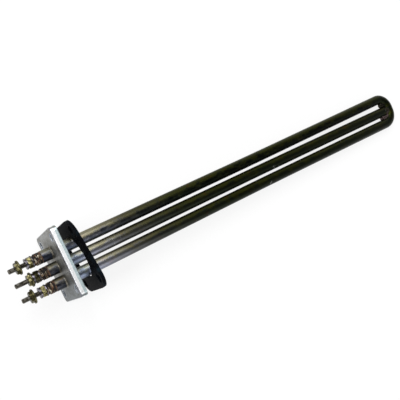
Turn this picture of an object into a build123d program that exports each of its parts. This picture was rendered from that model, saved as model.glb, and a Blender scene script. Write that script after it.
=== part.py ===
from build123d import *
from math import sqrt
import os

# A flanged heating element with three sheathed legs, in millimetres.
# +X runs along the legs from the flange to the bend, +Y is to the left when looking that way,
# and +Z is up. The origin is the centre of the flange's back face, which seats on the boiler.

# Flange
flange_side = 60.3
flange_thickness = 5.4
flange_corner_radius = 4.5
flange_edge_round = 0.6
bolt_spacing = 44.5
bolt_hole_diameter = 7.1

# Sheaths: the outer pair is one bent tube, and the centre one ends at the inside of the bend
sheath_diameter = 10.5
sheath_wall = 0.9
leg_pitch = 12.7
loop_reach = 411.6
sheath_stub = 8.7
splay_start = 210.0
leg_splay = 1.35
centre_lean = 0.9
leg_bow_radius = 8000.0
bend_radius_left = 11.2
bend_radius_right = 13.4
bend_skew = 1.4
nose_round = 3.6
nose_gap = 1.3

# Braze fillets at the flange, and the weld that joins the centre tube to the bend
braze_leg = 0.95
collar_radius = 4.9
collar_behind_nose = 2.2
collar_past_nose = 3.6
collar_round = 1.1
ripple_crest_radius = 3.1
ripple_valley_radius = 2.6
ripple_pitch = 2.9
ripple_start = 2.2
ripple_height = 0.6
ripple_counts = {"left": 2, "right": 4}

# Inside the sheaths
cold_length = 70.0
cold_pin_diameter = 3.3
coil_wire = 0.6
coil_grip = 10.0
centre_coil_end = 12.0
star_lead_diameter = 1.4
star_port_clearance = 0.6

# Terminals, each measured outwards along its leg
stud_reach = 37.0
stud_diameter = 4.1
stud_tip_chamfer = 0.6
seal_depth = 2.2
seal_rim = 0.8
seal_diameter = 9.8
bush_diameter = 10.2
bush_length = 7.0
bush_neck_diameter = 8.8
bush_neck_length = 1.8
bush_edge_round = 0.5
thread_clearance = 0.08
base_washer_diameter = 9.9
base_washer_thickness = 0.8
lock_washer_diameter = 8.2
lock_washer_thickness = 1.0
lock_washer_split = 0.8
flat_washer_diameter = 9.2
flat_washer_thickness = 0.9
nut_across_flats = 8.7
nut_thickness = 3.3
nut_corner_chamfer = 0.45
cup_diameter = 12.2
cup_thickness = 0.7
cup_height = 1.5
cup_nut_clearance = 0.2

# How far each outer nut and cup washer are backed off, and how each nut is turned, in degrees
backed_off = {"left": 4.6, "centre": 0.0, "right": 4.1}
outer_nut_turn = {"left": 8.0, "centre": 21.0, "right": -14.0}
inner_nut_turn = {"left": 17.0, "centre": -5.0, "right": 26.0}

# Gasket, loose on the legs, standing on its lower edge and turned a little to the right
gasket_width = 61.4
gasket_height = 60.0
gasket_corner_radius = 13.0
gasket_thickness = 2.8
gasket_hole_diameter = 38.2
gasket_bolt_hole_diameter = 7.5
gasket_least_rim = 0.8
gasket_stand_off = 13.9
gasket_lift = 0.9
gasket_turn_degrees = 4.8
gasket_leg_gap = 0.6

# Places worked out from the sizes above
leg_y = {"left": leg_pitch, "centre": 0.0, "right": -leg_pitch}
sheath_radius = sheath_diameter / 2
bore_radius = sheath_radius - sheath_wall
pin_radius = cold_pin_diameter / 2
coil_radius = pin_radius + coil_wire
stud_radius = stud_diameter / 2
thread_bore = stud_radius + thread_clearance
front_x = -flange_thickness
mouth_x = front_x - sheath_stub
seal_inner_x = mouth_x + seal_depth
seal_outer_x = mouth_x - seal_rim
tip_x = front_x - stud_reach
coil_start_x = cold_length - coil_grip
crown_x = loop_reach - sheath_radius
nose_x = crown_x - sheath_radius - nose_gap
centre_coil_end_x = nose_x - centre_coil_end
lean_slope = centre_lean / (nose_x - splay_start)


def centre_point(x):
    """Point on the centre leg's axis, which leans slightly to the right past splay_start."""
    return Vector(x, -lean_slope * max(0, x - splay_start), 0)


def centre_path(start_x, end_x):
    """Axis of the centre leg between two places along it."""
    if start_x >= splay_start or end_x <= splay_start:
        return Line(centre_point(start_x), centre_point(end_x))
    corners = [centre_point(x) for x in (start_x, splay_start, end_x)]
    return FilletPolyline(*corners, radius=[leg_bow_radius])


def loop_path(start_x):
    """Axis of the U from start_x on the left leg, round the bend and back down the right leg."""
    crown_half = leg_pitch + leg_splay
    return FilletPolyline(
        (start_x, leg_pitch),
        (splay_start, leg_pitch),
        (crown_x + bend_skew, crown_half),
        (crown_x - bend_skew, -crown_half),
        (splay_start, -leg_pitch),
        (start_x, -leg_pitch),
        radius=[leg_bow_radius, bend_radius_left, bend_radius_right, leg_bow_radius],
    )


def rod_along(path, radius):
    """Round rod along a path."""
    return sweep(Plane(path @ 0, z_dir=path % 0) * Circle(radius), path=path)


def outward(x, y, z=0):
    """Plane across a leg at x, facing away from the flange."""
    return Plane((x, y, z), x_dir=(0, 1, 0), z_dir=(-1, 0, 0))


def rod(x, y, radius, length, z=0):
    """Straight round rod that starts at x and runs away from the flange."""
    return outward(x, y, z) * extrude(Circle(radius), length)


def ring(x, y, radius, hole_radius, length):
    """Flat ring that starts at x and runs away from the flange."""
    return outward(x, y) * extrude(Circle(radius) - Circle(hole_radius), length)


def make_flange():
    """Square plate with rounded corners, four bolt holes and three close holes for the legs."""
    outline = RectangleRounded(flange_side, flange_side, flange_corner_radius)
    plate = outward(0, 0) * extrude(outline, flange_thickness)
    plate = fillet(plate.faces().filter_by(Axis.X).edges(), flange_edge_round)
    for spot in GridLocations(bolt_spacing, bolt_spacing, 2, 2):
        plate -= rod(0, spot.position.X, bolt_hole_diameter / 2, flange_thickness, spot.position.Y)
    for y in leg_y.values():
        plate -= rod(0, y, sheath_radius, flange_thickness)
    return plate


def roundest_corner():
    """Largest corner radius of the gasket that leaves the least rim of rubber round a bolt hole."""
    reach = gasket_bolt_hole_diameter / 2 + gasket_least_rim
    side = (gasket_width - bolt_spacing) / 2
    end = (gasket_height - bolt_spacing) / 2
    return side + end - reach + sqrt(2 * (side - reach) * (end - reach))


def make_gasket():
    """Flat rubber sheet with a round opening, set askew round the legs, close to the left one."""
    corner_radius = min(gasket_corner_radius, roundest_corner())
    outline = RectangleRounded(gasket_width, gasket_height, corner_radius)
    outline -= Circle(gasket_hole_diameter / 2)
    outline -= GridLocations(bolt_spacing, bolt_spacing, 2, 2) * Circle(gasket_bolt_hole_diameter / 2)
    sheet = extrude(outline, gasket_thickness / 2, both=True)
    centre_y = leg_pitch + sheath_radius + gasket_leg_gap - gasket_hole_diameter / 2
    return outward(gasket_stand_off, centre_y, gasket_lift) * Rot(0, -gasket_turn_degrees, 0) * sheet


def star_port():
    """Hole for the star lead, through the nose of the centre tube and the wall of the bend."""
    start_x = nose_x - 2 * sheath_wall
    return rod_along(centre_path(start_x, crown_x), star_lead_diameter / 2 + star_port_clearance)


def make_loop_sheath():
    """The outer tube, one length bent into a U."""
    path = loop_path(mouth_x)
    return rod_along(path, sheath_radius) - rod_along(path, bore_radius) - star_port()


def domed_rod(start_x, end_x, radius, dome):
    """Rod along the centre leg with its far edge rounded to a dome."""
    body = rod_along(centre_path(start_x, end_x), radius)
    return fillet(body.faces().sort_by(Axis.X)[-1].edges(), dome)


def centre_cavity(start_x):
    """The hollow of the centre tube."""
    return domed_rod(start_x, nose_x - sheath_wall, bore_radius, nose_round - sheath_wall)


def make_centre_sheath():
    """The centre tube, closed by a domed nose at its far end."""
    return domed_rod(mouth_x, nose_x, sheath_radius, nose_round) - centre_cavity(mouth_x) - star_port()


def weld_ripples(side):
    """Rippled run of weld metal in the gap between the centre leg and one outer leg."""
    count = round(ripple_counts[side])
    start = nose_x + ripple_start
    end = start - count * ripple_pitch
    with BuildSketch() as section:
        with BuildLine():
            Line((start, 0), (start, ripple_valley_radius))
            for step in range(count):
                front = start - step * ripple_pitch
                back = front - ripple_pitch
                crest = ((front + back) / 2, ripple_crest_radius)
                ThreePointArc((front, ripple_valley_radius), crest, (back, ripple_valley_radius))
            Line((end, ripple_valley_radius), (end, 0))
            Line((end, 0), (start, 0))
        make_face()
    outer_y = leg_y[side] * (1 + leg_splay / leg_pitch)
    gap_middle = (centre_point(nose_x).Y + outer_y) / 2
    return Pos(0, gap_middle, ripple_height) * revolve(section.sketch, Axis.X)


def make_bend_weld():
    """Weld metal: a collar round the nose, and a rippled run in the gap on either side of it."""
    collar_path = centre_path(nose_x - collar_behind_nose, nose_x + collar_past_nose)
    collar = rod_along(collar_path, collar_radius)
    weld = fillet(collar.edges(), collar_round)
    for side in ripple_counts:
        weld += weld_ripples(side)
    weld -= rod_along(loop_path(mouth_x), sheath_radius)
    weld -= domed_rod(mouth_x, nose_x, sheath_radius, nose_round)
    return weld - star_port()


def make_braze(x, away):
    """Three hollow-cornered braze fillets on one face of the flange; away is +1 or -1 along X."""
    square = Pos(braze_leg / 2, braze_leg / 2) * Rectangle(braze_leg, braze_leg)
    section = square - Pos(braze_leg, braze_leg) * Circle(braze_leg)
    fillets = []
    for y in leg_y.values():
        plane = Plane((x, y + sheath_radius, 0), x_dir=(away, 0, 0), z_dir=(0, 0, away))
        fillets.append(revolve(plane * section, Axis((0, y, 0), (1, 0, 0))))
    return Compound(fillets)


def make_terminal_pin(y):
    """Threaded stud with a chamfered tip and, inside the tube, a thinner cold pin, in one piece."""
    stud = rod(seal_outer_x, y, stud_radius, seal_outer_x - tip_x)
    stud = chamfer(stud.faces().sort_by(Axis.X)[0].edges(), stud_tip_chamfer)
    return stud + rod(cold_length, y, pin_radius, cold_length - seal_outer_x)


def make_mouth_seal(y):
    """Sealing plug in the mouth of the tube, with a rim outside it, round the pin."""
    plug = ring(seal_inner_x, y, bore_radius, pin_radius, seal_depth)
    return plug + ring(mouth_x, y, seal_diameter / 2, pin_radius, seal_rim)


def make_bush(x, y):
    """Ceramic bush with a narrower neck and rounded edges."""
    body = rod(x, y, bush_diameter / 2, bush_length - bush_neck_length)
    body = fillet(body.edges(), bush_edge_round)
    neck = rod(x, y, bush_neck_diameter / 2, bush_length)
    neck = fillet(neck.faces().sort_by(Axis.X)[0].edges(), bush_edge_round)
    return body + neck - rod(x, y, thread_bore, bush_length)


def make_lock_washer(x, y, turn):
    """Ring with a narrow split, turned about the leg's axis."""
    washer = ring(x, y, lock_washer_diameter / 2, thread_bore, lock_washer_thickness)
    split = Box(lock_washer_diameter, lock_washer_split, 2 * lock_washer_thickness)
    split = Pos((lock_washer_diameter + stud_radius) / 2, 0) * split
    return washer - outward(x, y) * Rot(0, 0, turn) * split


def make_nut(x, y, turn):
    """Hex nut with its corners chamfered on both faces."""
    blank = extrude(RegularPolygon(nut_across_flats / 2, 6, major_radius=False), nut_thickness)
    corner_radius = blank.bounding_box().size.X / 2
    turned = chamfer(extrude(Circle(corner_radius), nut_thickness).edges(), nut_corner_chamfer)
    hole = extrude(Circle(thread_bore), nut_thickness)
    return outward(x, y) * Rot(0, 0, turn) * ((blank & turned) - hole)


def make_cup_washer(x, y):
    """Dished washer: a flat floor for the nut and a lip that curves up round it."""
    nut_outline = RegularPolygon(nut_across_flats / 2, 6, major_radius=False)
    nut_corner_radius = nut_outline.bounding_box().size.X / 2
    floor_radius = nut_corner_radius + cup_nut_clearance
    rim_radius = cup_diameter / 2
    lip = cup_height - cup_thickness
    with BuildSketch() as section:
        with BuildLine():
            Line((thread_bore, 0), (floor_radius, 0))
            TangentArc((floor_radius, 0), (rim_radius, lip), tangent=(1, 0))
            Line((rim_radius, lip), (rim_radius, cup_height))
            TangentArc((floor_radius, cup_thickness), (rim_radius, cup_height), tangent=(1, 0))
            Line((floor_radius, cup_thickness), (thread_bore, cup_thickness))
            Line((thread_bore, cup_thickness), (thread_bore, 0))
        make_face()
    plane = Plane((x, y, 0), x_dir=(0, 1, 0), z_dir=(0, 0, 1))
    return revolve(plane * section.sketch, Axis((0, y, 0), (1, 0, 0)))


def make_terminal(side):
    """Every piece on one leg's stud, from the seal outwards, by name."""
    y = leg_y[side]
    x = seal_outer_x
    pieces = {"terminal_pin": make_terminal_pin(y), "mouth_seal": make_mouth_seal(y)}
    pieces["ceramic_bush"] = make_bush(x, y)
    x -= bush_length
    pieces["base_washer"] = ring(x, y, base_washer_diameter / 2, thread_bore, base_washer_thickness)
    x -= base_washer_thickness
    pieces["inner_nut"] = make_nut(x, y, inner_nut_turn[side])
    x -= nut_thickness
    pieces["lock_washer"] = make_lock_washer(x, y, outer_nut_turn[side])
    x -= lock_washer_thickness
    pieces["flat_washer"] = ring(x, y, flat_washer_diameter / 2, thread_bore, flat_washer_thickness)
    x -= flat_washer_thickness + backed_off[side]
    pieces["cup_washer"] = make_cup_washer(x, y)
    x -= cup_thickness
    pieces["outer_nut"] = make_nut(x, y, outer_nut_turn[side])
    return {f"{name}_{side}": solid for name, solid in pieces.items()}


def make_star_link():
    """Short lead with a head in the centre coil's end, run through the nose to the outer coil."""
    head = rod_along(centre_path(centre_coil_end_x - coil_grip, centre_coil_end_x), pin_radius)
    lead = rod_along(centre_path(centre_coil_end_x - coil_grip, crown_x), star_lead_diameter / 2)
    return head + lead - rod_along(loop_path(cold_length), coil_radius)


def make_loop_coil():
    """Closed outer shape of the coiled wire that fills both legs and the bend of the U."""
    path = loop_path(coil_start_x)
    return rod_along(path, coil_radius) - rod_along(path, pin_radius)


def make_centre_coil():
    """Closed outer shape of the coiled wire in the centre leg."""
    path = centre_path(coil_start_x, centre_coil_end_x)
    return rod_along(path, coil_radius) - rod_along(path, pin_radius)


def make_loop_magnesia():
    """Packed powder round the U's coil and pins, and the core inside the coil."""
    path = loop_path(seal_inner_x)
    packing = rod_along(path, bore_radius) - rod_along(path, pin_radius)
    packing -= rod_along(loop_path(coil_start_x), coil_radius)
    packing -= make_star_link()
    return Compound([packing.solid(), rod_along(loop_path(cold_length), pin_radius).solid()])


def make_centre_magnesia():
    """Packed powder round the centre leg's coil and pin, and the core inside the coil."""
    packing = centre_cavity(seal_inner_x)
    packing -= rod_along(centre_path(seal_inner_x, coil_start_x), pin_radius)
    packing -= rod_along(centre_path(coil_start_x, centre_coil_end_x), coil_radius)
    packing -= make_star_link()
    core = rod_along(centre_path(cold_length, centre_coil_end_x - coil_grip), pin_radius)
    return Compound([packing.solid(), core.solid()])


parts = {
    "flange": make_flange(),
    "flange_braze_front": make_braze(front_x, -1),
    "flange_braze_back": make_braze(0, 1),
    "gasket": make_gasket(),
    "loop_sheath": make_loop_sheath(),
    "centre_sheath": make_centre_sheath(),
    "bend_weld": make_bend_weld(),
    "loop_coil": make_loop_coil(),
    "centre_coil": make_centre_coil(),
    "star_link": make_star_link(),
    "loop_magnesia": make_loop_magnesia(),
    "centre_magnesia": make_centre_magnesia(),
}
for leg in leg_y:
    parts.update(make_terminal(leg))

os.makedirs("parts", exist_ok=True)
for name, solid in parts.items():
    export_step(solid, f"parts/{name}.step")
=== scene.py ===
import math

import bmesh
import bpy
import numpy as np
from mathutils import Matrix, Vector


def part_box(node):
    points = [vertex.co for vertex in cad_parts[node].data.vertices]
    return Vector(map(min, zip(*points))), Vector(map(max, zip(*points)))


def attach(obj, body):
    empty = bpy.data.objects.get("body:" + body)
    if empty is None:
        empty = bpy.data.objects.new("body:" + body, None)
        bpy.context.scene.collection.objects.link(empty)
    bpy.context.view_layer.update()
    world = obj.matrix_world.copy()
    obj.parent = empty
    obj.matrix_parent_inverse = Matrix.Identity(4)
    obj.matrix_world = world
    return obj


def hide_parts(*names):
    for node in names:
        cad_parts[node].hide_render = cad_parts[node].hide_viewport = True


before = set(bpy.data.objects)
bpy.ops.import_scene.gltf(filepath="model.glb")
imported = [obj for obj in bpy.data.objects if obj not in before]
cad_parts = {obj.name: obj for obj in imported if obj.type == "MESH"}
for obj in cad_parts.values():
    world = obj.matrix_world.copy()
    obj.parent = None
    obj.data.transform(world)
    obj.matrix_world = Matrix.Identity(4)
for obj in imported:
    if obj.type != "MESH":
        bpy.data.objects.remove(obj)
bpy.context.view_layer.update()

# Lengths are in metres. +X runs along the legs from the flange to the bend, +Y is to the left
# when looking that way, and +Z is up.
MM = 0.001
SIDES = ("left", "centre", "right")

# Camera, fitted to the photograph
LENS_MM = 53.17
SENSOR_MM = 36.0
CLIP_NEAR = 0.01
CLIP_FAR = 20.0
CAMERA_PLACE = Vector((-115.37, -10.53, 484.47)) * MM
CAMERA_RIGHT = Vector((0.79830, -0.44122, 0.40993))
CAMERA_UP = Vector((0.38368, 0.89723, 0.21855))

# Square lamps: name, place, target, side and watts
LEGS_MIDDLE = (0.17, 0.0, 0.0)
FLANGE_MIDDLE = (0.0, 0.0, 0.0)
LAMPS = (
    ("key", (0.05, 0.75, 1.0), LEGS_MIDDLE, 0.8, 10.0),
    ("fill", (0.3, -1.0, 0.6), LEGS_MIDDLE, 0.8, 3.0),
    ("front", (-0.75, 0.1, 0.75), FLANGE_MIDDLE, 0.4, 3.5),
)

# The white that the studio shows, the light it gives, and how much of the floor's own shading
# is kept under it
STUDIO_WHITE = (1.0, 1.0, 1.0, 1.0)
WORLD_LIGHT = 0.55
FLOOR_KEEP = 0.16
FLOOR_REACH = 3.0

# How dark the ceiling is in reflections, and the heights of view between which it darkens
CEILING_SHOWN = 0.22
CEILING_FROM = 0.25
CEILING_FULL = 0.80

# Sheaths: distance between legs, radius, and the stretch where the legs give way to the bend
SHEATH_PITCH = 12.7 * MM
SHEATH_RADIUS = 5.25 * MM
LEGS_END = 384 * MM
BEND_START = 402 * MM

# Flange: front face, middle of its thickness, where its edge's colour starts, how far its foot
# stands in from the back face, and bolt holes
FLANGE_FRONT = -5.4 * MM
FLANGE_MIDDLE_X = -2.7 * MM
FLANGE_EDGE = 29.9 * MM
FLANGE_FOOT = 0.6 * MM
BOLT_OFFSET = 22.25 * MM
BOLT_HOLE_RADIUS = 3.55 * MM

# Studs
THREAD_PITCH = 0.8 * MM
THREAD_DEPTH = 0.32 * MM
THREAD_RUN_OUT = 1.2 * MM
THREAD_STEEPNESS = 1.35
THREAD_CREST = 0.2
THREAD_ROWS = 9
COLD_PIN_RADIUS = 1.65 * MM
STUD_CHAMFER = 0.6 * MM
STUD_FACET = 0.6
STUD_COLUMNS = 48

# Ceramic bushes
BUSH_RIB_PITCH = 1.45 * MM
BUSH_RIB_DEPTH = 0.16 * MM
BUSH_BORE_RADIUS = 2.13 * MM
BUSH_NECK_LENGTH = 1.7 * MM
BUSH_SHOULDER = 0.35 * MM
BUSH_NECK_DEPTH = 0.7 * MM
BUSH_END_ROUND = 0.5 * MM
BUSH_ROWS = 90
BUSH_COLUMNS = 96
BUSH_SWELL = 0.07 * MM
BUSH_SWELL_SIZE = 3.2 * MM
BUSH_GRAIN = 0.035 * MM
BUSH_GRAIN_SIZE = 1.1 * MM
BUSH_GRAIN_SEED = 50
BUSH_HIGHEST_LUMP = 0.02 * MM

# Braze fillets: length of the two legs, how far it swells, sinks into its neighbours and sags
BRAZE_LEG = 1.05 * MM
BRAZE_MEAN = 0.95
BRAZE_SWELL = 0.35
BRAZE_OUT_SIZE = 7 * MM
BRAZE_UP_SIZE = 6 * MM
BRAZE_UP_SEED = 20
BRAZE_SUNK = 0.12 * MM
BRAZE_SAG = 0.82
BRAZE_ROWS = 9
BRAZE_COLUMNS = 120
BRAZE_SEED = 30

# Weld: spacing of its grid, number of smoothings, height of its lumps, and size and seed of each
WELD_GRID = 0.22 * MM
WELD_SMOOTHINGS = 5
WELD_LUMP = 0.13 * MM
WELD_LARGE = (0.75, 3.0 * MM, 5)
WELD_SMALL = (0.35, 1.2 * MM, 9)

# Soft random lumps: number of waves, range of their fineness, and gain
LUMP_WAVES = 12
LUMP_FINENESS = (0.6, 1.7)
LUMP_GAIN = 2.2

MERGE_DISTANCE = 1e-7


def rgba(value):
    """Colour with full opacity added. Anything that isn't red, green and blue stays as it is."""
    if isinstance(value, tuple) and len(value) == 3:
        return (*value, 1.0)
    return value


class Nodes:
    """Short way to lay out a node tree: each call adds one node and wires its inputs."""

    def __init__(self, node_tree):
        self.tree = node_tree
        self.tree.nodes.clear()

    def wire(self, node, socket, value):
        """Links another node's output to a socket, or sets a plain value on it."""
        if isinstance(value, bpy.types.NodeSocket):
            self.tree.links.new(value, node.inputs[socket])
        else:
            node.inputs[socket].default_value = value

    def add(self, kind, inputs=None, settings=None, **values):
        """Node of a kind, with its settings and with inputs and values on its sockets."""
        node = self.tree.nodes.new(kind)
        for name, value in (settings or {}).items():
            setattr(node, name, value)
        for name, value in values.items():
            node.inputs[name.replace("_", " ")].default_value = value
        for socket, value in (inputs or {}).items():
            self.wire(node, socket, value)
        return node

    def math(self, operation, first, second=0.0, third=0.0):
        """Result of one arithmetic step."""
        inputs = {0: first, 1: second, 2: third}
        return self.add("ShaderNodeMath", inputs, {"operation": operation}).outputs[0]

    def plus(self, first, second):
        """Sum of two values."""
        return self.math("ADD", first, second)

    def minus(self, first, second):
        """Difference of two values."""
        return self.math("SUBTRACT", first, second)

    def times(self, first, second):
        """Product of two values."""
        return self.math("MULTIPLY", first, second)

    def scaled(self, value, factor, base):
        """Value times factor, plus base."""
        return self.math("MULTIPLY_ADD", value, factor, base)

    def wavering(self, value, pattern, width):
        """Value moved to and fro by a cloudy pattern, over a range of width."""
        return self.scaled(self.minus(pattern, 0.5), width, value)

    def hypotenuse(self, first, second):
        """Root of the sum of two squares."""
        return self.math("SQRT", self.plus(self.times(first, first), self.times(second, second)))

    def seen_directly(self):
        """1 for camera, glossy and transmission rays, 0 for the rays that carry diffuse light."""
        path = self.add("ShaderNodeLightPath")
        seen = self.math("MAXIMUM", path.outputs["Is Camera Ray"], path.outputs["Is Glossy Ray"])
        return self.math("MAXIMUM", seen, path.outputs["Is Transmission Ray"])

    def place(self):
        """Position on the object, in metres."""
        return self.add("ShaderNodeTexCoord").outputs["Object"]

    def split(self, place):
        """X, Y and Z of a position."""
        return self.add("ShaderNodeSeparateXYZ", {0: place}).outputs

    def joined(self, x, y, z):
        """Position from its X, Y and Z."""
        return self.add("ShaderNodeCombineXYZ", {0: x, 1: y, 2: z}).outputs[0]

    def stretched(self, place, along=(1.0, 1.0, 1.0), shift=(0.0, 0.0, 0.0)):
        """Position scaled on each axis and shifted."""
        inputs = {"Vector": place, "Scale": along, "Location": shift}
        return self.add("ShaderNodeMapping", inputs).outputs[0]

    def noise(self, place, size, detail=3.0, roughness=0.55):
        """Cloudy pattern whose patches are about size metres across."""
        node = self.add("ShaderNodeTexNoise", {"Vector": place}, Scale=1 / size, Detail=detail,
                        Roughness=roughness)
        return node.outputs[0]

    def ramp(self, value, *stops):
        """Colour from a value, eased through the stops given as (position, colour)."""
        node = self.add("ShaderNodeValToRGB", {0: value})
        ramp = node.color_ramp
        ramp.interpolation = "EASE"
        while len(ramp.elements) < len(stops):
            ramp.elements.new(0.5)
        for element, (position, colour) in zip(ramp.elements, stops):
            element.position = position
            element.color = rgba(colour)
        return node.outputs[0]

    def step(self, value, start, end):
        """Smooth rise from 0 at start to 1 at end, or a fall where end is below start."""
        inputs = {"Value": value, "From Min": min(start, end), "From Max": max(start, end)}
        if start > end:
            inputs.update({"To Min": 1.0, "To Max": 0.0})
        settings = {"interpolation_type": "SMOOTHSTEP"}
        return self.add("ShaderNodeMapRange", inputs, settings).outputs[0]

    def span(self, value, low, high):
        """Value stretched so that low becomes 0 and high becomes 1."""
        inputs = {"Value": value, "From Min": low, "From Max": high}
        return self.add("ShaderNodeMapRange", inputs).outputs[0]

    def mix(self, amount, first, second, blend="MIX"):
        """Two colours mixed by an amount."""
        settings = {"data_type": "RGBA", "blend_type": blend}
        inputs = {0: amount, 6: rgba(first), 7: rgba(second)}
        return self.add("ShaderNodeMix", inputs, settings).outputs[2]

    def tinted(self, amount, hue, tint):
        """Colour with an amount of itself replaced by its product with a tint."""
        return self.mix(amount, hue, self.mix(1.0, hue, tint, "MULTIPLY"))

    def bump(self, height, depth, strength):
        """Normal that is roughened by a height pattern of a given depth in metres."""
        return self.add("ShaderNodeBump", {"Height": height}, Distance=depth, Strength=strength).outputs[0]

    def finish(self, **inputs):
        """Principled surface with these inputs, wired to the output."""
        inputs = {name.replace("_", " "): rgba(value) for name, value in inputs.items()}
        surface = self.add("ShaderNodeBsdfPrincipled", inputs)
        self.add("ShaderNodeOutputMaterial", {0: surface.outputs[0]})


def new_material(name):
    """Empty material, its tree and the position on the object."""
    material = bpy.data.materials.new(name)
    material.use_nodes = True
    tree = Nodes(material.node_tree)
    return material, tree, tree.place()


def make_camera():
    """Camera with its axes taken from the fit to the photograph."""
    data = bpy.data.cameras.new("camera")
    data.lens = LENS_MM
    data.sensor_width = SENSOR_MM
    data.clip_start = CLIP_NEAR
    data.clip_end = CLIP_FAR
    right = CAMERA_RIGHT.normalized()
    back = right.cross(CAMERA_UP).normalized()
    up = back.cross(right)
    turn = Matrix((right, up, back)).transposed().to_4x4()
    camera = bpy.data.objects.new("camera", data)
    camera.matrix_world = Matrix.Translation(CAMERA_PLACE) @ turn
    bpy.context.collection.objects.link(camera)
    bpy.context.scene.camera = camera


def add_lamp(name, place, target, side, watts):
    """Square soft box at place, turned to face target."""
    data = bpy.data.lights.new(name, "AREA")
    data.shape = "SQUARE"
    data.size = side
    data.energy = watts
    lamp = bpy.data.objects.new(name, data)
    lamp.location = place
    lamp.rotation_euler = (Vector(target) - Vector(place)).to_track_quat("-Z", "Y").to_euler()
    bpy.context.collection.objects.link(lamp)


def surround_with_white():
    """White world that gives soft light.

    Reflections see the white too, but darker overhead, so that bright metal keeps its form.
    """
    world = bpy.data.worlds.new("surround")
    bpy.context.scene.world = world
    world.use_nodes = True
    tree = Nodes(world.node_tree)
    path = tree.add("ShaderNodeLightPath")
    view = tree.add("ShaderNodeTexCoord").outputs["Generated"]
    height = tree.split(view)[2]
    ceiling = tree.times(tree.step(height, CEILING_FROM, CEILING_FULL), 1 - CEILING_SHOWN)
    ceiling = tree.times(ceiling, path.outputs["Is Glossy Ray"])
    light = tree.add("ShaderNodeBackground", Strength=WORLD_LIGHT, Color=STUDIO_WHITE)
    white = tree.add("ShaderNodeBackground", {"Strength": tree.minus(1.0, ceiling)}, Color=STUDIO_WHITE)
    inputs = {0: tree.seen_directly(), 1: light.outputs[0], 2: white.outputs[0]}
    both = tree.add("ShaderNodeMixShader", inputs)
    tree.add("ShaderNodeOutputWorld", {"Surface": both.outputs[0]})


def across_leg(tree, y):
    """Distance to the left of the nearest leg's axis, as a share of the sheath's radius."""
    shifted = tree.plus(y, 1.5 * SHEATH_PITCH)
    from_middle = tree.minus(tree.math("MODULO", shifted, SHEATH_PITCH), SHEATH_PITCH / 2)
    return tree.math("DIVIDE", from_middle, SHEATH_RADIUS)


def from_axis(tree, y, z):
    """Distance from the nearest leg's axis, in metres."""
    return tree.hypotenuse(tree.times(across_leg(tree, y), SHEATH_RADIUS), z)


# Rubbed rings round the centre leg, by their X, and scuffs, by their places
RUBBED_RINGS = (44.8 * MM, 51.8 * MM)
SCUFFS = ((227 * MM, -3.6 * MM, 3.8 * MM), (216 * MM, -15.9 * MM, 4.2 * MM))


def scratched(tree, x, y, z):
    """Mask of bare metal: two faint rings on the centre leg and two small scuffs further on."""
    place = tree.joined(x, y, z)
    breaks = tree.noise(place, 1.6 * MM, 4.0, 0.65)
    on_centre = tree.step(tree.math("ABSOLUTE", y), 6.2 * MM, 5.6 * MM)
    rings = 0.0
    for ring_x in RUBBED_RINGS:
        off_ring = tree.math("ABSOLUTE", tree.minus(x, ring_x))
        rings = tree.plus(rings, tree.step(off_ring, 0.55 * MM, 0.15 * MM))
    rings = tree.times(tree.times(rings, on_centre), tree.step(breaks, 0.42, 0.60))
    mask = tree.times(rings, 0.42)
    for scuff_place in SCUFFS:
        inputs = {0: place, 1: tree.joined(*scuff_place)}
        gap = tree.add("ShaderNodeVectorMath", inputs, {"operation": "DISTANCE"}).outputs[1]
        scuff = tree.times(tree.step(gap, 2.6 * MM, 0.4 * MM), tree.step(breaks, 0.50, 0.60))
        mask = tree.plus(mask, tree.times(scuff, 0.8))
    return mask


# Tints of the sheath by its heat, and the X at which the heat is 0 and 1
HEAT_TINTS = (
    (0.00, (0.125, 0.12, 0.115)),
    (0.09, (0.16, 0.165, 0.18)),
    (0.14, (0.30, 0.34, 0.39)),
    (0.22, (0.225, 0.225, 0.235)),
    (0.28, (0.175, 0.172, 0.165)),
    (0.33, (0.135, 0.133, 0.125)),
    (0.39, (0.080, 0.078, 0.068)),
    (0.46, (0.052, 0.051, 0.041)),
    (0.56, (0.033, 0.034, 0.024)),
    (0.70, (0.022, 0.024, 0.014)),
    (1.00, (0.017, 0.019, 0.009)),
)
HEAT_FROM = -20 * MM
HEAT_FULL = 180 * MM


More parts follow.
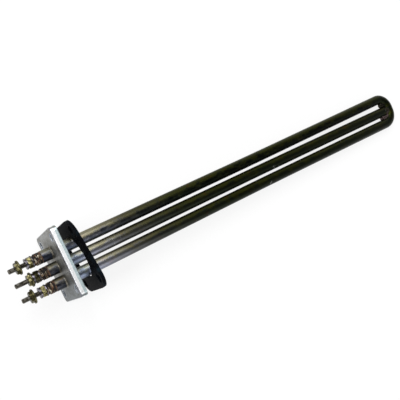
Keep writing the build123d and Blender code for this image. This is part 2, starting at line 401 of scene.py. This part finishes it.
def sheath_alloy():
    # Painted shade darkens the left leg's right flank, next to the centre leg, and the right flanks of the
    # tubes in front of the flange.
    """Heat-tinted alloy tube: silver by the flange, then grey, olive-brown and nearly black.

    The left flank of each leg is olive and painted lighter, its right flank violet and painted darker:
    painted light and shade over the heat tint.
    """
    material, tree, where = new_material("sheath_alloy")
    x, y, z = tree.split(where)
    drift = tree.noise(tree.stretched(where, (0.35, 1.0, 1.0)), 12 * MM, 4.0)
    mottle = tree.noise(tree.stretched(where, (0.5, 1.0, 1.0)), 3.5 * MM, 5.0, 0.62)
    streak = tree.noise(tree.stretched(where, (0.03, 1.0, 1.0)), 0.9 * MM, 4.0, 0.6)

    lag = tree.scaled(y, 0.35, tree.wavering(x, drift, 26 * MM))
    heat = tree.span(lag, HEAT_FROM, HEAT_FULL)
    tint = tree.ramp(heat, *HEAT_TINTS)
    far = tree.step(heat, 0.30, 1.00)
    # Painted light and shade across each leg: the olive tint lightens the left flank and the violet tint
    # darkens the right flank
    lit_olive_tint = tree.mix(far, (1.12, 1.06, 0.72), (1.50, 1.50, 0.48))
    shaded_violet_tint = tree.mix(far, (0.86, 0.90, 1.06), (0.62, 0.74, 0.86))
    olive = tree.mix(1.0, tint, lit_olive_tint, "MULTIPLY")
    violet = tree.mix(1.0, tint, shaded_violet_tint, "MULTIPLY")
    on_legs = tree.step(x, BEND_START, LEGS_END)
    leftward = tree.times(across_leg(tree, y), on_legs)
    flank = tree.wavering(leftward, mottle, 3.0)
    hue = tree.mix(tree.step(flank, -0.35, 0.65), violet, olive)

    # Painted shade: the left leg's right flank, beside the centre leg, and the right flanks of the tubes
    # in front of the flange are darkened towards blue-black
    on_left_leg = tree.times(tree.step(y, 6 * MM, 8 * MM), on_legs)
    in_front = tree.step(x, -4 * MM, -6 * MM)
    left_leg_shade = tree.times(tree.step(flank, 0.30, -0.60), on_left_leg)
    front_underside_shade = tree.times(tree.step(flank, 0.25, -0.75), in_front)
    soot = tree.math("MAXIMUM", left_leg_shade, front_underside_shade)
    hue = tree.tinted(tree.times(soot, 0.80), hue, (0.10, 0.13, 0.18))

    rust = tree.step(tree.noise(where, 6 * MM, 4.0, 0.6), 0.56, 0.70)
    hue = tree.tinted(tree.times(rust, tree.scaled(far, 0.35, 0.12)), hue, (1.9, 0.72, 0.45))
    worn = tree.step(streak, 0.40, 0.72)
    hue = tree.tinted(tree.times(worn, tree.scaled(far, 0.30, 0.18)), hue, (0.35, 0.36, 0.38))
    hue = tree.mix(scratched(tree, x, y, z), hue, (0.34, 0.34, 0.33))
    height = tree.plus(tree.times(streak, 0.5), mottle)
    tree.finish(Base_Color=hue, Metallic=1.0, Roughness=tree.scaled(mottle, 0.16, 0.33),
                Normal=tree.bump(height, 0.02 * MM, 0.4))
    return material


def flange_edge(tree, x, cloud, speckle):
    """Colour of the sheared edge: smooth and bright in front, torn and blue-grey behind."""
    torn_from = tree.scaled(cloud, 1.2 * MM, -3.1 * MM)
    torn = tree.step(tree.minus(x, torn_from), -0.15 * MM, 0.25 * MM)
    torn_grey = tree.ramp(speckle, (0.3, (0.47, 0.57, 0.59)), (0.7, (0.60, 0.71, 0.73)))
    sheared = tree.mix(torn, (0.95, 0.96, 0.97), torn_grey)
    rim = tree.step(tree.math("ABSOLUTE", tree.minus(x, FLANGE_MIDDLE_X)), 2.25 * MM, 2.6 * MM)
    return tree.mix(tree.times(rim, 0.55), sheared, (0.16, 0.17, 0.19))


def flange_steel():
    """Dull zinc-plated plate: grey speckle and brown stains on its faces, and a sheared edge.

    It is darker round the legs and blue-grey towards its right side. The walls of the bolt
    holes carry a painted highlight by the front face that fades to painted shade deeper in.
    """
    material, tree, where = new_material("flange_steel")
    x, y, z = tree.split(where)
    speckle = tree.noise(where, 0.8 * MM, 3.0, 0.7)
    cloud = tree.noise(where, 6 * MM, 5.0, 0.62)
    stain = tree.noise(tree.stretched(where, shift=(0.1, 0.2, 0.3)), 4 * MM, 5.0, 0.65)
    away_y = tree.math("ABSOLUTE", y)
    away_z = tree.math("ABSOLUTE", z)

    hue = tree.ramp(speckle, (0.3, (0.13, 0.135, 0.13)), (0.5, (0.27, 0.275, 0.265)),
                    (0.7, (0.46, 0.47, 0.48)))
    hue = tree.mix(tree.times(tree.step(cloud, 0.42, 0.66), 0.6), hue, (0.105, 0.10, 0.075))
    hue = tree.mix(tree.times(tree.step(stain, 0.54, 0.68), 0.55), hue, (0.09, 0.055, 0.03))
    by_legs = tree.times(tree.step(away_z, 17 * MM, 5 * MM), tree.step(away_y, 27 * MM, 17 * MM))
    hue = tree.mix(tree.times(by_legs, tree.scaled(cloud, 0.9, 0.30)), hue, (0.075, 0.074, 0.060))
    right = tree.step(tree.wavering(y, cloud, 16 * MM), -10 * MM, -22 * MM)
    hue = tree.tinted(tree.times(right, 0.75), hue, (0.46, 0.52, 0.58))

    by_top = tree.step(z, 27.6 * MM, 29.2 * MM)
    on_face = tree.step(x, FLANGE_FRONT + 0.30 * MM, FLANGE_FRONT + 0.05 * MM)
    hue = tree.mix(tree.times(tree.times(by_top, on_face), 0.7), hue, (0.15, 0.105, 0.24))
    edge = tree.step(tree.math("MAXIMUM", away_y, away_z), FLANGE_EDGE - 0.6 * MM, FLANGE_EDGE)
    hue = tree.mix(edge, hue, flange_edge(tree, x, cloud, speckle))

    # Painted light in the bolt holes: a bright painted highlight on the walls by the front face, fading to
    # painted shade deeper in
    from_bolt = tree.hypotenuse(tree.minus(away_y, BOLT_OFFSET), tree.minus(away_z, BOLT_OFFSET))
    wall = tree.step(from_bolt, BOLT_HOLE_RADIUS + 0.30 * MM, BOLT_HOLE_RADIUS + 0.05 * MM)
    depth = tree.step(tree.wavering(x, cloud, 3.0 * MM), -4.9 * MM, -2.6 * MM)
    hue = tree.mix(wall, hue, tree.mix(depth, (0.72, 0.77, 0.84), (0.045, 0.045, 0.045)))
    tree.finish(Base_Color=hue, Metallic=0.85, Roughness=tree.scaled(speckle, 0.25, 0.34),
                Normal=tree.bump(speckle, 0.06 * MM, 0.6))
    return material


def gasket_rubber():
    """Black rubber sheet with a faint teal sheen painted in patches, and pressed-in grain."""
    material, tree, where = new_material("gasket_rubber")
    grain = tree.noise(where, 0.8 * MM)
    sheen_patches = tree.noise(where, 7 * MM, 5.0, 0.62)
    # Painted sheen: faint teal patches over the black
    hue = tree.ramp(sheen_patches, (0.42, (0.0016, 0.0016, 0.0024)), (0.58, (0.003, 0.0045, 0.0065)),
                    (0.72, (0.007, 0.014, 0.020)))
    tree.finish(Base_Color=hue, Roughness=tree.scaled(sheen_patches, 0.3, 0.42), Specular_IOR_Level=0.025,
                Normal=tree.bump(grain, 0.05 * MM, 0.5))
    return material


def weld_metal():
    """Weld metal: scale-black and olive-brown, with a pinkish bare patch on its right side."""
    material, tree, where = new_material("weld_metal")
    y = tree.split(where)[1]
    patch = tree.noise(where, 2.0 * MM, 4.0, 0.6)
    grain = tree.noise(where, 0.4 * MM)
    hue = tree.ramp(patch, (0.35, (0.006, 0.006, 0.006)), (0.52, (0.022, 0.020, 0.011)),
                    (0.68, (0.050, 0.036, 0.022)))
    right = tree.step(tree.scaled(patch, 4 * MM, y), 0.2 * MM, -2.2 * MM)
    bare = tree.ramp(patch, (0.35, (0.05, 0.035, 0.035)), (0.6, (0.20, 0.14, 0.14)))
    hue = tree.mix(tree.times(right, 0.6), hue, bare)
    tree.finish(Base_Color=hue, Metallic=0.95, Roughness=tree.scaled(patch, 0.25, 0.28),
                Normal=tree.bump(grain, 0.04 * MM, 0.6))
    return material


def braze_metal():
    """Dull yellow-grey braze, browned where the flux burnt."""
    material, tree, where = new_material("braze_metal")
    patch = tree.noise(where, 2.0 * MM, 4.0, 0.6)
    grain = tree.noise(where, 0.3 * MM)
    hue = tree.ramp(patch, (0.35, (0.05, 0.045, 0.035)), (0.55, (0.17, 0.155, 0.125)),
                    (0.75, (0.34, 0.33, 0.30)))
    tree.finish(Base_Color=hue, Metallic=0.9, Roughness=0.45, Normal=tree.bump(grain, 0.04 * MM, 0.6))
    return material


def brass_finish(name, bright, dull, dark):
    """Tarnished brass: dull olive, rubbed bright on the corners and black in the hollows."""
    material, tree, where = new_material(name)
    x, y, z = tree.split(where)
    patch = tree.noise(where, 2.4 * MM, 6.0, 0.68)
    fleck = tree.noise(tree.stretched(where, shift=(0.4, 0.1, 0.2)), 1.5 * MM, 6.0, 0.70)
    out = tree.wavering(from_axis(tree, y, z), patch, 3.0 * MM)
    hue = tree.mix(tree.step(out, 3.9 * MM, 5.1 * MM), dull, bright)
    black = tree.times(tree.step(fleck, 0.38, 0.58), tree.step(out, 5.6 * MM, 4.3 * MM))
    hue = tree.mix(tree.times(black, 0.95), hue, dark)
    tree.finish(Base_Color=hue, Metallic=1.0, Roughness=tree.scaled(fleck, 0.35, 0.20),
                Normal=tree.bump(fleck, 0.05 * MM, 0.6))
    return material


def washer_steel():
    """Grey steel washers with a lavender cast, spotted black and rust-brown."""
    material, tree, where = new_material("washer_steel")
    patch = tree.noise(where, 1.8 * MM, 4.0, 0.6)
    fleck = tree.noise(tree.stretched(where, shift=(0.2, 0.5, 0.1)), 1.0 * MM, 4.0, 0.62)
    hue = tree.ramp(patch, (0.36, (0.035, 0.033, 0.033)), (0.50, (0.095, 0.092, 0.105)),
                    (0.66, (0.29, 0.28, 0.34)))
    hue = tree.mix(tree.times(tree.step(fleck, 0.50, 0.62), 0.8), hue, (0.055, 0.028, 0.014))
    tree.finish(Base_Color=hue, Metallic=0.95, Roughness=0.33, Normal=tree.bump(fleck, 0.05 * MM, 0.6))
    return material


def stud_steel():
    """Grey-brown steel stud with dark brown flecks."""
    material, tree, where = new_material("stud_steel")
    patch = tree.noise(where, 2.2 * MM, 4.0, 0.6)
    fleck = tree.noise(where, 0.8 * MM, 3.0, 0.6)
    hue = tree.ramp(patch, (0.38, (0.050, 0.046, 0.036)), (0.52, (0.125, 0.115, 0.095)),
                    (0.66, (0.30, 0.29, 0.265)))
    hue = tree.mix(tree.times(tree.step(fleck, 0.52, 0.66), 0.75), hue, (0.030, 0.024, 0.012))
    tree.finish(Base_Color=hue, Metallic=1.0, Roughness=0.32, Normal=tree.bump(fleck, 0.03 * MM, 0.4))
    return material


def bush_ceramic():
    """Cream ceramic under soot: black and rust-brown rings and patches, pale where it shows."""
    material, tree, where = new_material("bush_ceramic")
    x = tree.split(where)[0]
    patch = tree.noise(tree.stretched(where, (2.4, 1.0, 1.0)), 3.4 * MM, 3.0, 0.50)
    burn = tree.noise(tree.stretched(where, (2.4, 1.0, 1.0), (0.3, 0.0, 0.0)), 4.0 * MM, 3.0, 0.52)
    rust = tree.noise(tree.stretched(where, (2.0, 1.0, 1.0), (0.7, 0.0, 0.0)), 3.6 * MM, 3.0, 0.52)
    rings = tree.math("SINE", tree.times(x, 2 * math.pi / BUSH_RIB_PITCH))
    sooty = tree.scaled(rings, -0.045, burn)
    hue = tree.ramp(patch, (0.42, (0.06, 0.045, 0.028)), (0.52, (0.19, 0.155, 0.105)),
                    (0.62, (0.62, 0.56, 0.44)))
    hue = tree.mix(tree.times(tree.step(rust, 0.46, 0.58), 0.85), hue, (0.11, 0.040, 0.018))
    hue = tree.mix(tree.times(tree.step(sooty, 0.43, 0.50), 0.97), hue, (0.007, 0.0065, 0.006))
    tree.finish(Base_Color=hue, Roughness=0.5, Specular_IOR_Level=0.12,
                Normal=tree.bump(patch, 0.2 * MM, 0.7))
    return material


def seal_resin():
    """Brown sealing compound."""
    material, tree, where = new_material("seal_resin")
    patch = tree.noise(where, 1.2 * MM, 4.0, 0.6)
    hue = tree.ramp(patch, (0.35, (0.030, 0.014, 0.008)), (0.65, (0.12, 0.060, 0.030)))
    tree.finish(Base_Color=hue, Roughness=0.5, Normal=tree.bump(patch, 0.1 * MM, 0.6))
    return material


def coil_wire():
    """Oxidised resistance wire, with its fine turns as ridges."""
    material, tree, where = new_material("coil_wire")
    x = tree.split(where)[0]
    turn_pitch = 1.2 * MM
    turns = tree.math("SINE", tree.times(x, 2 * math.pi / turn_pitch))
    patch = tree.noise(where, 1.0 * MM)
    hue = tree.ramp(patch, (0.35, (0.14, 0.13, 0.11)), (0.65, (0.30, 0.27, 0.22)))
    tree.finish(Base_Color=hue, Metallic=1.0, Roughness=0.4, Normal=tree.bump(turns, 0.2 * MM, 0.6))
    return material


def magnesia_powder():
    """Packed white powder."""
    material, tree, where = new_material("magnesia_powder")
    grain = tree.noise(where, 0.3 * MM, 4.0, 0.7)
    hue = tree.ramp(grain, (0.35, (0.62, 0.60, 0.56)), (0.65, (0.86, 0.85, 0.82)))
    tree.finish(Base_Color=hue, Roughness=0.9, Normal=tree.bump(grain, 0.1 * MM, 0.6))
    return material


def floor_paper():
    """White studio paper that keeps part of its own shading, and so the shadow."""
    material, tree, where = new_material("floor_paper")
    fibre = tree.noise(where, 2 * MM)
    hue = tree.ramp(fibre, (0.3, (0.93, 0.93, 0.93)), (0.7, (0.97, 0.97, 0.97)))
    paper = tree.add("ShaderNodeBsdfDiffuse", {"Color": hue})
    glow = tree.add("ShaderNodeEmission", Color=STUDIO_WHITE, Strength=1.0)
    amount = tree.times(tree.seen_directly(), 1 - FLOOR_KEEP)
    both = tree.add("ShaderNodeMixShader", {0: amount, 1: paper.outputs[0], 2: glow.outputs[0]})
    tree.add("ShaderNodeOutputMaterial", {"Surface": both.outputs[0]})
    return material


def new_piece(name, vertices, faces, material, slot, *replaced):
    """Smooth mesh object that rides on the part and stands for the replaced nodes."""
    mesh = bpy.data.meshes.new(name)
    mesh.from_pydata(vertices, [], faces)
    form = bmesh.new()
    form.from_mesh(mesh)
    bmesh.ops.remove_doubles(form, verts=form.verts, dist=MERGE_DISTANCE)
    bmesh.ops.recalc_face_normals(form, faces=form.faces)
    form.to_mesh(mesh)
    form.free()
    mesh.shade_smooth()
    mesh.materials.append(material)
    piece = bpy.data.objects.new(name, mesh)
    bpy.context.collection.objects.link(piece)
    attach(piece, "root")
    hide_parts(*replaced)


def leg_axis_y(side):
    """Y of a leg's axis at the flange: the middle of its stud."""
    low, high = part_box(f"terminal_pin_{side}")
    return (low.y + high.y) / 2


def angles(columns):
    """Evenly spaced angles of a full turn, one for each column."""
    return np.linspace(0, 2 * np.pi, columns, endpoint=False)


def turned(stations, radii, y):
    """Surface about a leg's axis: radii holds one row per station and one column per angle."""
    angle = angles(radii.shape[1])
    x = np.broadcast_to(stations, radii.shape)
    return np.stack([x, y + radii * np.cos(angle), radii * np.sin(angle)], axis=-1)


def column_of(values):
    """Array of one column."""
    return np.array(values)[:, None]


def wrapped_grid(points):
    """Vertices and quads of a grid of points whose columns close on themselves."""
    rows, columns = points.shape[:2]
    index = np.arange(rows * columns).reshape(rows, columns)
    beside = np.roll(index, -1, axis=1)
    quads = np.stack([index[:-1], beside[:-1], beside[1:], index[1:]], axis=-1)
    return points.reshape(-1, 3).tolist(), quads.reshape(-1, 4).tolist()


def lumps(points, size, seed):
    """Soft random height at each point: the mean of many sine waves in random directions."""
    chance = np.random.default_rng(seed)
    directions = chance.normal(size=(LUMP_WAVES, 3))
    directions /= np.linalg.norm(directions, axis=1)[:, None]
    fineness = chance.uniform(*LUMP_FINENESS, size=(LUMP_WAVES, 1))
    waves = directions * fineness * 2 * np.pi / size
    phases = chance.uniform(0, 2 * np.pi, size=LUMP_WAVES)
    return np.sin(points @ waves.T + phases).mean(axis=-1) * LUMP_GAIN


def make_stud(side, material):
    """Threaded stud: the radius falls by a triangle wave of distance along the axis plus the turn.

    The wave is cut flat at its crests and roots, and fades out towards the tip's chamfer and
    where the thinner cold pin begins.
    """
    low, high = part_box(f"terminal_pin_{side}")
    y = leg_axis_y(side)
    outer = (high.y - low.y) / 2
    tip, root = low.x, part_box(f"mouth_seal_{side}")[0].x
    rows = int((root - tip) / THREAD_PITCH * THREAD_ROWS)
    stations = np.linspace(tip, root, rows)[:, None]
    full_turns = angles(STUD_COLUMNS) / (2 * np.pi)
    phase = (stations / THREAD_PITCH + full_turns) % 1.0
    wave = np.clip(THREAD_STEEPNESS * np.abs(2 * phase - 1) - THREAD_CREST, 0, 1)
    fade = np.clip((stations - tip) / THREAD_RUN_OUT, 0, 1)
    fade = fade * np.clip((root - stations) / THREAD_RUN_OUT, 0, 1)
    cap = outer - np.clip(STUD_CHAMFER - (stations - tip), 0, None)
    radii = np.minimum(outer - THREAD_DEPTH * wave * fade, cap)
    shaft = turned(stations, radii, y)
    nose = turned(column_of([tip, tip]), column_of([0.0, STUD_FACET]) * radii[:1], y)
    tail_radii = column_of([COLD_PIN_RADIUS, COLD_PIN_RADIUS, 0.0]) * np.ones((1, STUD_COLUMNS))
    tail = turned(column_of([root, high.x, high.x]), tail_radii, y)
    vertices, faces = wrapped_grid(np.concatenate([nose, shaft, tail]))
    new_piece(f"threaded_stud_{side}", vertices, faces, material, "pin_steel", f"terminal_pin_{side}")


def make_bush(side, material, seed):
    """Ceramic bush: a lathe profile with shallow rounded ribs, roughened by soft random lumps.

    The ribs are a squared sine of distance along the leg, and the profile closes down its bore.
    """
    low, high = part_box(f"ceramic_bush_{side}")
    y = leg_axis_y(side)
    outer = (high.y - low.y) / 2
    length = high.x - low.x
    along = np.linspace(0, length, BUSH_ROWS)[:, None]
    past_neck = np.clip((along - BUSH_NECK_LENGTH) / BUSH_SHOULDER, 0, 1)
    smooth_rise = 3 * past_neck ** 2 - 2 * past_neck ** 3
    body = outer - BUSH_NECK_DEPTH + BUSH_NECK_DEPTH * smooth_rise
    ribs = np.sin(np.pi * along / BUSH_RIB_PITCH) ** 2 - 1
    body = body + BUSH_RIB_DEPTH * ribs * past_neck
    near_end = np.clip(1 - np.minimum(along, length - along) / BUSH_END_ROUND, 0, 1)
    body = body - BUSH_END_ROUND * (1 - np.sqrt(1 - near_end ** 2))
    body = body * np.ones((1, BUSH_COLUMNS))
    stations = low.x + along
    shell = turned(stations, body, y)
    ripple = lumps(shell, BUSH_SWELL_SIZE, seed) * BUSH_SWELL
    ripple = ripple + lumps(shell, BUSH_GRAIN_SIZE, seed + BUSH_GRAIN_SEED) * BUSH_GRAIN
    shell = turned(stations, body + np.minimum(ripple, BUSH_HIGHEST_LUMP), y)
    bore = np.full((1, BUSH_COLUMNS), BUSH_BORE_RADIUS)
    front = turned(column_of([low.x]), bore, y)
    back = turned(column_of([high.x, low.x]), np.concatenate([bore, bore]), y)
    vertices, faces = wrapped_grid(np.concatenate([front, shell, back]))
    new_piece(f"sooty_bush_{side}", vertices, faces, material, "bush_ceramic", f"ceramic_bush_{side}")


def make_braze(node, material, seed):
    """Braze beads of one face of the flange: hollow fillets whose two legs swell and shrink.

    Around each tube the legs follow soft random lumps. The surface between them is a quarter of
    a circle that sags towards the corner, blended with a straight fall.
    """
    low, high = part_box(node)
    away = -1.0 if high.x <= 0 else 1.0
    corner_x = high.x if away < 0 else low.x
    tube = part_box("centre_sheath")[1].z
    angle = angles(BRAZE_COLUMNS)
    turn = np.linspace(0, np.pi / 2, BRAZE_ROWS)[:, None]
    share = turn / (np.pi / 2)
    sunk = np.full((1, BRAZE_COLUMNS), BRAZE_SUNK)
    vertices, faces = [], []
    for number, side in enumerate(SIDES):
        y = leg_axis_y(side)
        circle = turned(column_of([0.0]), np.full((1, BRAZE_COLUMNS), tube), y)[0]
        leg_out = lumps(circle, BRAZE_OUT_SIZE, seed + number)
        leg_up = lumps(circle, BRAZE_UP_SIZE, seed + number + BRAZE_UP_SEED)
        leg_out = BRAZE_LEG * (BRAZE_MEAN + BRAZE_SWELL * leg_out)
        leg_up = BRAZE_LEG * (BRAZE_MEAN + BRAZE_SWELL * leg_up)
        out = leg_out * (1 - BRAZE_SAG * np.sin(turn) - (1 - BRAZE_SAG) * share)
        up = leg_up * (1 - BRAZE_SAG * np.cos(turn) - (1 - BRAZE_SAG) * (1 - share))
        x = corner_x + away * np.concatenate([-sunk, out[:1], out, -sunk])
        radius = tube + np.concatenate([-sunk, -sunk, up, up[-1:]])
        ring = np.stack([x, y + radius * np.cos(angle), radius * np.sin(angle)], axis=-1)
        points, quads = wrapped_grid(np.concatenate([ring, ring[:1]]))
        faces += [[index + len(vertices) for index in quad] for quad in quads]
        vertices += points
    new_piece(f"{node}_bead", vertices, faces, material, "braze_metal", node)


def vertex_values(mesh, name):
    """Array of one three-part value for each vertex of a mesh."""
    values = np.empty(len(mesh.vertices) * 3)
    mesh.vertices.foreach_get(name, values)
    return values.reshape(-1, 3)


def make_weld(material):
    """Weld bead: the frame's own bead on a fine even grid, pushed in and out by soft lumps."""
    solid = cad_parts["bend_weld"]
    copy = bpy.data.objects.new("weld_grid", solid.data.copy())
    bpy.context.collection.objects.link(copy)
    copy.matrix_world = solid.matrix_world
    remesh = copy.modifiers.new("grid", "REMESH")
    remesh.mode = "VOXEL"
    remesh.voxel_size = WELD_GRID
    smooth = copy.modifiers.new("smooth", "SMOOTH")
    smooth.iterations = WELD_SMOOTHINGS
    bpy.context.view_layer.update()
    shape = copy.evaluated_get(bpy.context.evaluated_depsgraph_get())
    mesh = shape.to_mesh()
    turn = np.array(copy.matrix_world.to_3x3())
    places = vertex_values(mesh, "co") @ turn.T + np.array(copy.matrix_world.translation)
    normals = vertex_values(mesh, "normal") @ turn.T
    height = sum(share * lumps(places, size, seed) for share, size, seed in (WELD_LARGE, WELD_SMALL))
    places = places + normals * (WELD_LUMP * height)[:, None]
    faces = [list(polygon.vertices) for polygon in mesh.polygons]
    shape.to_mesh_clear()
    bpy.data.objects.remove(copy)
    new_piece("lumpy_weld", places.tolist(), faces, material, "weld_metal", "bend_weld")


def lay_floor(material):
    """Sheet of paper under the flange's lower edge and the underside of the bend."""
    flange_low, flange_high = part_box("flange")
    loop_low, loop_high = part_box("loop_sheath")
    front = Vector((flange_high.x - FLANGE_FOOT, 0.0, flange_low.z))
    back = Vector((loop_high.x - abs(loop_low.z), 0.0, loop_low.z))
    slope = (back.z - front.z) / (back.x - front.x)
    corners = []
    for x, y in ((-1, -1), (1, -1), (1, 1), (-1, 1)):
        corner_x = x * FLOOR_REACH
        corners.append((corner_x, y * FLOOR_REACH, front.z + slope * (corner_x - front.x)))
    mesh = bpy.data.meshes.new("floor")
    mesh.from_pydata(corners, [], [(0, 1, 2, 3)])
    mesh.materials.append(material)
    floor = bpy.data.objects.new("floor", mesh)
    bpy.context.collection.objects.link(floor)


def dress(node, material):
    """Gives one of the frame's own parts its finish."""
    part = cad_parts[node]
    if not part.material_slots:
        part.data.materials.append(material)
    for slot in part.material_slots:
        slot.material = material


def main():
    """Lays out the studio, gives every part its finish and makes the finer pieces."""
    bpy.context.scene.view_settings.view_transform = "Standard"
    make_camera()
    for lamp in LAMPS:
        add_lamp(*lamp)
    surround_with_white()
    lay_floor(floor_paper())

    sheath = sheath_alloy()
    weld = weld_metal()
    braze = braze_metal()
    wire = coil_wire()
    powder = magnesia_powder()
    nut_brass = brass_finish(
        "nut_brass", bright=(0.30, 0.27, 0.125), dull=(0.070, 0.063, 0.028), dark=(0.009, 0.008, 0.005))
    cup_brass = brass_finish(
        "cup_brass", bright=(0.11, 0.10, 0.050), dull=(0.065, 0.058, 0.027), dark=(0.006, 0.005, 0.003))
    grey = washer_steel()
    stud = stud_steel()
    bush = bush_ceramic()
    seal = seal_resin()

    finishes = {
        "flange": flange_steel(), "flange_braze_front": braze, "flange_braze_back": braze,
        "gasket": gasket_rubber(), "loop_sheath": sheath, "centre_sheath": sheath,
        "bend_weld": weld, "loop_coil": wire, "centre_coil": wire, "star_link": wire,
        "loop_magnesia": powder, "centre_magnesia": powder,
    }
    for side in SIDES:
        finishes.update({
            f"mouth_seal_{side}": seal, f"ceramic_bush_{side}": bush, f"base_washer_{side}": grey,
            f"inner_nut_{side}": nut_brass, f"lock_washer_{side}": grey, f"flat_washer_{side}": grey,
            f"cup_washer_{side}": cup_brass, f"outer_nut_{side}": nut_brass,
        })
    for node, material in finishes.items():
        dress(node, material)
    for number, side in enumerate(SIDES):
        make_stud(side, stud)
        make_bush(side, bush, number)
    for number, node in enumerate(("flange_braze_front", "flange_braze_back")):
        make_braze(node, braze, BRAZE_SEED + number * len(SIDES))
    make_weld(weld)


main()
